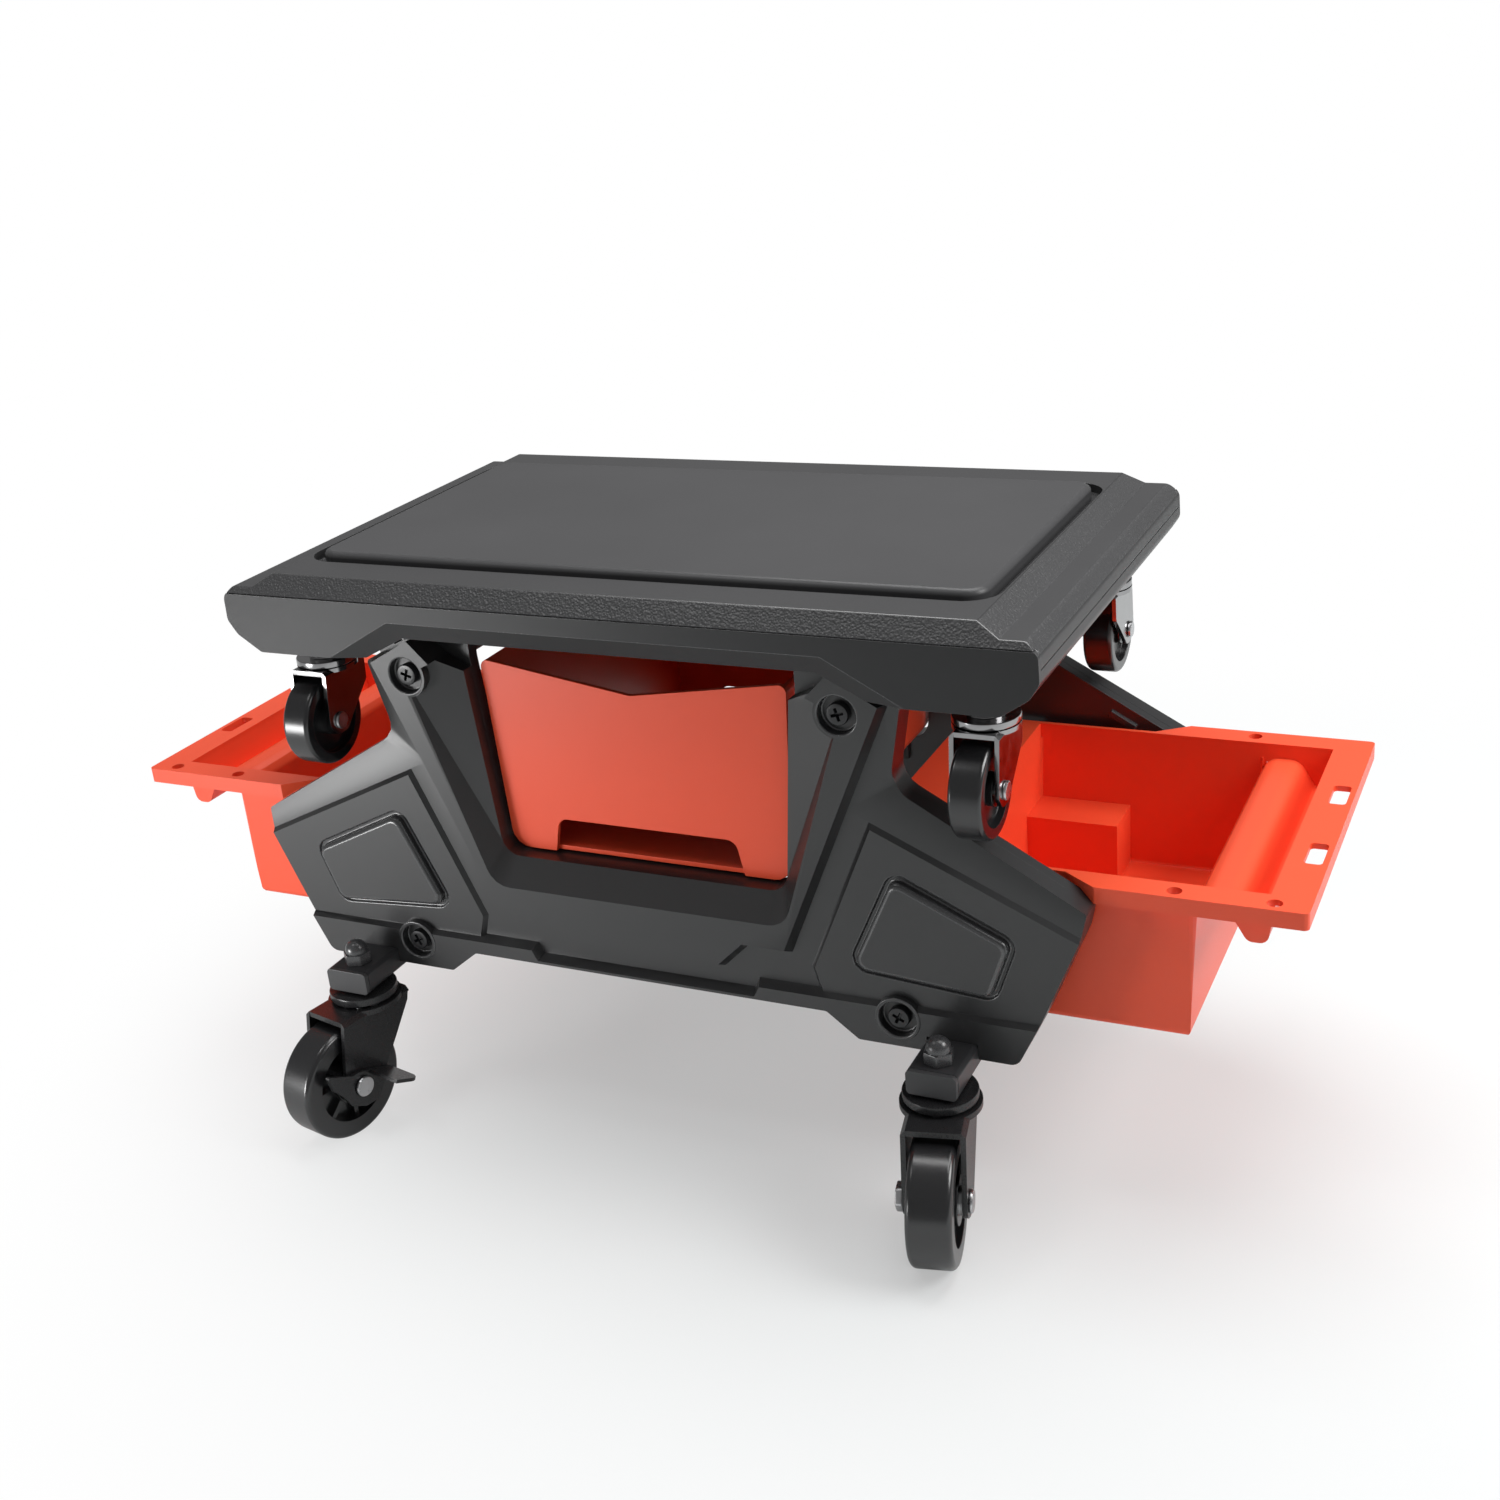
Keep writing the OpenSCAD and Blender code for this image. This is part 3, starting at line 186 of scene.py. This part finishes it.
def runs(edges):
    """Groups of edges that meet. Rounded one by one, a tight group doesn't thin the others."""
    waiting, groups = set(edges), []
    for first in edges:
        if first not in waiting:
            continue
        waiting.remove(first)
        group = [first]
        for edge in group:
            for near in [near for end in edge.verts for near in end.link_edges]:
                if near in waiting:
                    waiting.remove(near)
                    group.append(near)
        groups.append(group)
    return groups


def moulded(node, radius, segments=3, apart=True):
    """A copy of a CAD piece with its arrises rounded, run by run or all at once."""
    form = bmesh.new()
    form.from_mesh(frame["nodes"][node].data)
    bmesh.ops.remove_doubles(form, verts=form.verts, dist=MERGE)
    bmesh.ops.dissolve_limit(
        form, angle_limit=math.radians(FLAT_DEG), use_dissolve_boundaries=False,
        verts=form.verts, edges=form.edges, delimit=set())
    for face in form.faces:
        face.material_index = BODY_FACE
    arrises = [
        edge for edge in form.edges
        if len(edge.link_faces) == 2 and edge.calc_face_angle() > math.radians(ARRIS_DEG)]
    groups = runs(arrises) if apart else [arrises]
    for group in groups if radius else []:
        rounds = bmesh.ops.bevel(
            form, geom=group, offset=radius * MM, offset_type="OFFSET", affect="EDGES",
            segments=segments, profile=0.5, clamp_overlap=True, material=-1)
        for face in rounds["faces"]:
            face.material_index = ARRIS_FACE
    return stored(node + "_shape", form, BODIES[node], node)


def stored(name, form, body, node):
    """A finished piece on its body, smooth but for its sharp edges, in place of a CAD piece."""
    for face in form.faces:
        face.smooth = True
    smooth_most = math.radians(SHARP_DEG)
    for edge in form.edges:
        edge.smooth = len(edge.link_faces) == 2 and edge.calc_face_angle() < smooth_most
    made = bpy.data.meshes.new(name)
    form.to_mesh(made)
    form.free()
    piece = bpy.data.objects.new(name, made)
    bpy.context.scene.collection.objects.link(piece)
    weigh = piece.modifiers.new("even shading", "WEIGHTED_NORMAL")
    weigh.keep_sharp = True
    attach(piece, body)
    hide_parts(node)
    return piece


def finish(piece, slot, *materials):
    """Dresses a piece: the first material on its faces, the next on its rounded edges."""
    for material in materials:
        piece.data.materials.append(material)


def dress(nodes, radius, material, arris=None, segments=2, apart=True):
    """Rounds the arrises of CAD pieces and gives them their finish."""
    for node in nodes:
        finish(moulded(node, radius, segments, apart), SLOTS[node], material, arris or material)


def material_of(name, **sockets):
    """A new material, its node tree and its Principled shader with plain values set."""
    made = bpy.data.materials.new(name)
    made.use_nodes = True
    shader = made.node_tree.nodes["Principled BSDF"]
    for key, value in sockets.items():
        shader.inputs[key.replace("_", " ")].default_value = value
    return made, made.node_tree, shader


def feed(tree, shader, socket, wire):
    """Links a wire to one of the shader's sockets."""
    tree.links.new(wire.socket, shader.inputs[socket])


MIX_FACTOR, MIX_LOW, MIX_HIGH, MIX_RESULT = 0, 6, 7, 2


def blend(tree, factor, low, high):
    """A colour between low and high."""
    mixed = put(tree, "ShaderNodeMix", {"data_type": "RGBA"}, output=MIX_RESULT)
    node = mixed.socket.node
    tree.links.new(factor.socket, node.inputs[MIX_FACTOR])
    node.inputs[MIX_LOW].default_value = low
    node.inputs[MIX_HIGH].default_value = high
    return mixed


def shade(colour, amount):
    """A lighter or darker tone of a colour."""
    return tuple(min(1, c * amount) for c in colour[:3]) + (1,)


CLOUD_SCALE, CLOUD_DETAIL, CLOUD_SOFTNESS = 9.0, 3.0, 0.6
SPECK_PER_GRAIN, SPECK_DETAIL, SPECK_MIDDLE = 0.7, 4.0, 0.5
CELL_HEIGHT, SPECK_HEIGHT, GRAIN_RISE = 0.7, 0.5, 0.5
POLISH_SPREAD = 0.12


def grained(name, colour, roughness, grain, depth, level=0.5, spread=0.16):
    """An even, faintly clouded colour, and a grain of cells as wide as told in millimetres."""
    made, tree, shader = material_of(name, Specular_IOR_Level=level)
    place = put(tree, "ShaderNodeTexCoord", {}, output="Object")
    cloud = put(
        tree, "ShaderNodeTexNoise", {},
        Vector=place, Scale=CLOUD_SCALE, Detail=CLOUD_DETAIL, Roughness=CLOUD_SOFTNESS)
    tint = blend(tree, cloud, shade(colour, 1 - spread), shade(colour, 1 + spread))
    feed(tree, shader, "Base Color", tint)
    cells = put(
        tree, "ShaderNodeTexVoronoi", {"feature": "SMOOTH_F1"},
        Vector=place, Scale=1 / (grain * MM))
    speck = put(
        tree, "ShaderNodeTexNoise", {},
        Vector=place, Scale=SPECK_PER_GRAIN / (grain * MM), Detail=SPECK_DETAIL)
    height = cells * CELL_HEIGHT + speck * SPECK_HEIGHT
    rise = put(
        tree, "ShaderNodeBump", {},
        Strength=depth, Distance=GRAIN_RISE * grain * MM, Height=height)
    feed(tree, shader, "Normal", rise)
    feed(tree, shader, "Roughness", roughness + (speck - SPECK_MIDDLE) * POLISH_SPREAD)
    return made


CHARCOAL, PANEL_GREY = (0.03, 0.03, 0.031, 1), (0.058, 0.058, 0.06, 1)
# The rounded edges are a lighter tone than the faces: a painted highlight along the arrises.
EDGE_HIGHLIGHT_TONE = shade(CHARCOAL, 1.8)
seat_plastic = grained(
    "seat moulding", CHARCOAL, roughness=0.4, grain=0.5, depth=0.1, level=0.35)
seat_polish_and_highlight = grained(
    "seat edges with painted highlight", EDGE_HIGHLIGHT_TONE, roughness=0.26, grain=0.5, depth=0.05, level=0.9)
# The bands and the rim are lighter tones of the seat's black: painted light on the top faces. The
# bands' coarse grain is the seat's own.
leather_painted_lighter = grained(
    "leather grain", shade(CHARCOAL, 1.7), roughness=0.34, grain=1.1, depth=1.0, level=0.7)
rim_plastic_painted_lighter = grained(
    "rim moulding painted lighter", shade(CHARCOAL, 1.6), roughness=0.4, grain=0.6, depth=0.1, level=0.4)
panel_plastic = grained(
    "panel moulding", PANEL_GREY, roughness=0.4, grain=0.35, depth=0.05, level=0.4)
SEAT_RADIUS, OWN_EDGES = 0.8, 0  # none is added where the solid has its own rounding
SLOPE_LEAST, SLOPE_MOST = 0.3, 0.97
SLOPE_LOW, RIM_HALF_X, RIM_HALF_Y = 288 * MM, 190.5 * MM, 121.5 * MM
LEATHER_FACE, RIM_FACE = 2, 3
for node in ("seat_top_shell", "seat_bottom_shell"):
    shell = moulded(node, SEAT_RADIUS)
    finish(shell, SLOTS[node], seat_plastic, seat_polish_and_highlight, leather_painted_lighter, rim_plastic_painted_lighter)
    # The top faces are sorted by slope into the flat rim and the sloping bands, which get lighter
    # tones: painted light.
    for face in shell.data.polygons:
        on_top = face.center.z >= SLOPE_LOW and face.normal.z >= SLOPE_LEAST
        if face.material_index != BODY_FACE or not on_top:
            continue
        if face.normal.z > SLOPE_MOST:
            face.material_index = RIM_FACE
        elif abs(face.center.x) > RIM_HALF_X or abs(face.center.y) > RIM_HALF_Y:
            face.material_index = LEATHER_FACE
dress(["seat_panel"], OWN_EDGES, panel_plastic)

# Side panels: a deep moulded outer shell on a flat inner one, front and rear, in the same black
# plastic as the seat, with the edges of the plates and bands polished and painted in a lighter
# tone as a highlight.
frame_plastic = grained(
    "frame moulding", shade(CHARCOAL, 0.9), roughness=0.34, grain=0.45, depth=0.08, level=0.6)
# A lighter tone on the rounded edges: a painted highlight.
frame_polish_and_highlight = grained(
    "frame edges with painted highlight", EDGE_HIGHLIGHT_TONE, roughness=0.26, grain=0.45, depth=0.05, level=0.9)
OUTER_RADIUS, INNER_RADIUS = 0.9, 0.6
ENDS = ("front", "rear")
for shell, radius in (("_outer_shell", OUTER_RADIUS), ("_inner_shell", INNER_RADIUS)):
    dress([end + shell for end in ENDS], radius, frame_plastic, frame_polish_and_highlight, segments=3)

# Panel screws: black pan heads with a cross recess, eight of them in the counterbores of the
# side panels. Each is drawn along Z, head up, then turned into place. Places are X, Z and
# the turn of the cross; the outline is radii and heights under the top.
SCREW_PLACES = [(119.4, 256, 0.3), (140.5, 99, 1.1)]
SCREW_TOP_Y = 117.5
SCREW_OUTLINE = [(5.2, -0.15), (5.6, -0.8), (5.6, -4.0), (2.6, -4.0), (2.6, -34.0)]
SCREW_FACE_R, SCREW_SIDES = 4.2, 32
CROSS_WING, CROSS_HALF, CROSS_DEPTH, CROSS_TAPER = 3.3, 0.8, 2.4, 0.55
GRID_HALF, GRID_MIDDLE = 1, 0.5  # of the grid that is stretched into the cross
SIDES = (-1, 1)


def cross_face(form):
    """The flat top of a screw with its cross recess. Gives the edges round it."""
    grid = bmesh.ops.create_grid(form, x_segments=3, y_segments=3, size=GRID_HALF)["verts"]
    for vert in grid:
        for axis in (0, 1):
            far = CROSS_WING if abs(vert.co[axis]) > GRID_MIDDLE else CROSS_HALF
            vert.co[axis] = math.copysign(far * MM, vert.co[axis])
    limit = (CROSS_WING + CROSS_HALF) / 2 * MM
    corners = [v for v in grid if min(abs(v.co.x), abs(v.co.y)) > limit]
    bmesh.ops.delete(form, geom=corners, context="VERTS")
    cross = list(dict.fromkeys(f for v in grid if v.is_valid for f in v.link_faces))
    border = [e for f in cross for e in f.edges if len(e.link_faces) == 1]
    circle = bmesh.ops.create_circle(
        form, cap_ends=False, segments=SCREW_SIDES, radius=SCREW_FACE_R * MM)["verts"]
    rim = list(dict.fromkeys(e for v in circle for e in v.link_edges))
    bmesh.ops.triangle_fill(form, use_beauty=True, edges=border + rim)
    bmesh.ops.inset_region(
        form, faces=cross, thickness=CROSS_TAPER * MM, depth=-CROSS_DEPTH * MM, use_boundary=True)
    return rim


def ringed(form, rim, outline):
    """Draws a round edge out into a turned shape through the radii and heights of an outline."""
    for radius, height in outline:
        drawn = bmesh.ops.extrude_edge_only(form, edges=rim)["geom"]
        ring = [g for g in drawn if isinstance(g, bmesh.types.BMVert)]
        rim = [g for g in drawn if isinstance(g, bmesh.types.BMEdge)]
        grow = radius * MM / ring[0].co.xy.length
        bmesh.ops.scale(form, vec=(grow, grow, 1), verts=ring)
        bmesh.ops.translate(form, vec=(0, 0, height * MM - ring[0].co.z), verts=ring)
    bmesh.ops.holes_fill(form, edges=rim)


SCREW_BLACK = (0.016, 0.016, 0.017, 1)
screws = bmesh.new()
for x, z, turn in SCREW_PLACES:
    for side_x in SIDES:
        for side_y in SIDES:
            screw = bmesh.new()
            ringed(screw, cross_face(screw), SCREW_OUTLINE)
            bmesh.ops.recalc_face_normals(screw, faces=screw.faces)
            set_down = (
                Matrix.Translation(Vector((side_x * x, side_y * SCREW_TOP_Y, z)) * MM)
                @ Matrix.Rotation(-side_y * math.pi / 2, 4, "X")
                @ Matrix.Rotation(turn * side_x, 4, "Z"))
            bmesh.ops.transform(screw, matrix=set_down, verts=screw.verts)
            lump = bpy.data.meshes.new("screw")
            screw.to_mesh(lump)
            screw.free()
            screws.from_mesh(lump)
            bpy.data.meshes.remove(lump)
black_screw = grained("blackened screws", SCREW_BLACK, roughness=0.3, grain=0.4, depth=0.05)
cross_screws = stored("cross_screws", screws, "frame", "panel_screws")
finish(cross_screws, SLOTS["panel_screws"], black_screw)

# Parts bin and trays: orange-red mouldings, satin outside and in, with softly rounded rims.
# The trays' edges are rounded all at once, since run by run their large faces shade black.
ORANGE = (0.98, 0.1, 0.038, 1)
orange = grained(
    "orange moulding", ORANGE, roughness=0.36, grain=0.5, depth=0.03, level=0.4, spread=0.05)
BIN_RADIUS, TRAY_RADIUS = 0.8, 0.5
dress(["parts_bin"], BIN_RADIUS, orange, segments=3)
dress(["left_tray", "right_tray"], TRAY_RADIUS, orange, segments=3, apart=False)

# Cradle and tie rods: coarse black plastic that carries the parts bin and holds the side
# panels apart, mostly out of sight.
HIDDEN_RADIUS = 0.4
hidden_plastic = grained(
    "cradle moulding", shade(CHARCOAL, 1.2), roughness=0.5, grain=0.6, depth=0.1)
dress(["bin_cradle", "upper_tie_rods", "lower_tie_rods"], HIDDEN_RADIUS, hidden_plastic)

# Foot tubes: enamelled black tubes, closed by moulded end caps, with the screws that hold
# the side panels to them from below.
ENAMEL_BLACK, CAP_BLACK = (0.03, 0.03, 0.032, 1), (0.04, 0.04, 0.042, 1)
tube_coat = grained(
    "black stove enamel", ENAMEL_BLACK, roughness=0.36, grain=0.35, depth=0.05)
cap_plastic = grained("end cap moulding", CAP_BLACK, roughness=0.46, grain=0.4, depth=0.07)
nut_black = grained(
    "blackened nuts", CAP_BLACK, roughness=0.28, grain=0.3, depth=0.03, level=0.8)
CAP_RADIUS, SMALL_SCREW_RADIUS = 0.5, 0.3
dress(["left_foot_tube", "right_foot_tube"], OWN_EDGES, tube_coat)
dress(["foot_tube_caps"], CAP_RADIUS, cap_plastic)
dress(["foot_tube_screws", "seat_screws"], SMALL_SCREW_RADIUS, nut_black)

# Floor casters: black pressed forks on studs with cap nuts, steel balls in the swivel, hard
# black wheels on bushes and plated axles. The front left one has a brake lever.
CORNERS = [end + "_" + side for end in ENDS for side in ("left", "right")]
FORK_BLACK, WHEEL_BLACK = (0.016, 0.016, 0.017, 1), (0.011, 0.011, 0.012, 1)
ZINC_GREY = (0.6, 0.6, 0.61, 1)
fork_coat = grained("fork coat", FORK_BLACK, roughness=0.28, grain=0.3, depth=0.04)
wheel_plastic = grained(
    "wheel moulding", WHEEL_BLACK, roughness=0.24, grain=0.8, depth=0.01, level=0.8)
PLATING_SCALE, PLATING_DETAIL, PLATING_SPREAD = 160.0, 4.0, 0.25
PLATING_DULL, PLATING_BRIGHT, PLATING_MIDDLE = 0.75, 1.1, 0.5


def plated(name, colour, roughness):
    """Bright metal whose polish varies a little."""
    made, tree, shader = material_of(name, Metallic=1.0)
    place = put(tree, "ShaderNodeTexCoord", {}, output="Object")
    wear = put(
        tree, "ShaderNodeTexNoise", {},
        Vector=place, Scale=PLATING_SCALE, Detail=PLATING_DETAIL)
    tint = blend(tree, wear, shade(colour, PLATING_DULL), shade(colour, PLATING_BRIGHT))
    feed(tree, shader, "Base Color", tint)
    feed(tree, shader, "Roughness", roughness + (wear - PLATING_MIDDLE) * PLATING_SPREAD)
    return made


zinc = plated("zinc plating", ZINC_GREY, roughness=0.3)
STUD_RADIUS, NUT_RADIUS, AXLE_RADIUS, BUSH_RADIUS = 0.8, 0.7, 1.0, 0.2
FORK_RADIUS, WHEEL_RADIUS = 0.5, 0.5
dress(["caster_studs"], STUD_RADIUS, fork_coat)
dress(["caster_cap_nuts"], NUT_RADIUS, nut_black)
dress(["caster_balls"], OWN_EDGES, zinc)
dress([corner + "_fork" for corner in CORNERS] + ["brake_lever"], FORK_RADIUS, fork_coat)
dress([corner + "_wheel" for corner in CORNERS], WHEEL_RADIUS, wheel_plastic)
dress([corner + "_axle" for corner in CORNERS], AXLE_RADIUS, zinc)
dress([corner + "_bush" for corner in CORNERS], BUSH_RADIUS, zinc)

# Seat casters: smaller, on stems pressed into the bottom shell, with dark chromed forks and
# the same black wheels on riveted axles.
CHROME_GREY = (0.36, 0.355, 0.36, 1)
SMALL_CORNERS = ["small_" + corner for corner in CORNERS]
chrome = plated("fork plating", CHROME_GREY, roughness=0.16)
dress(["small_caster_stems"] + [corner + "_fork" for corner in SMALL_CORNERS], FORK_RADIUS, chrome)
dress([corner + "_wheel" for corner in SMALL_CORNERS], WHEEL_RADIUS, wheel_plastic)
dress([corner + "_axle" for corner in SMALL_CORNERS], AXLE_RADIUS, zinc)
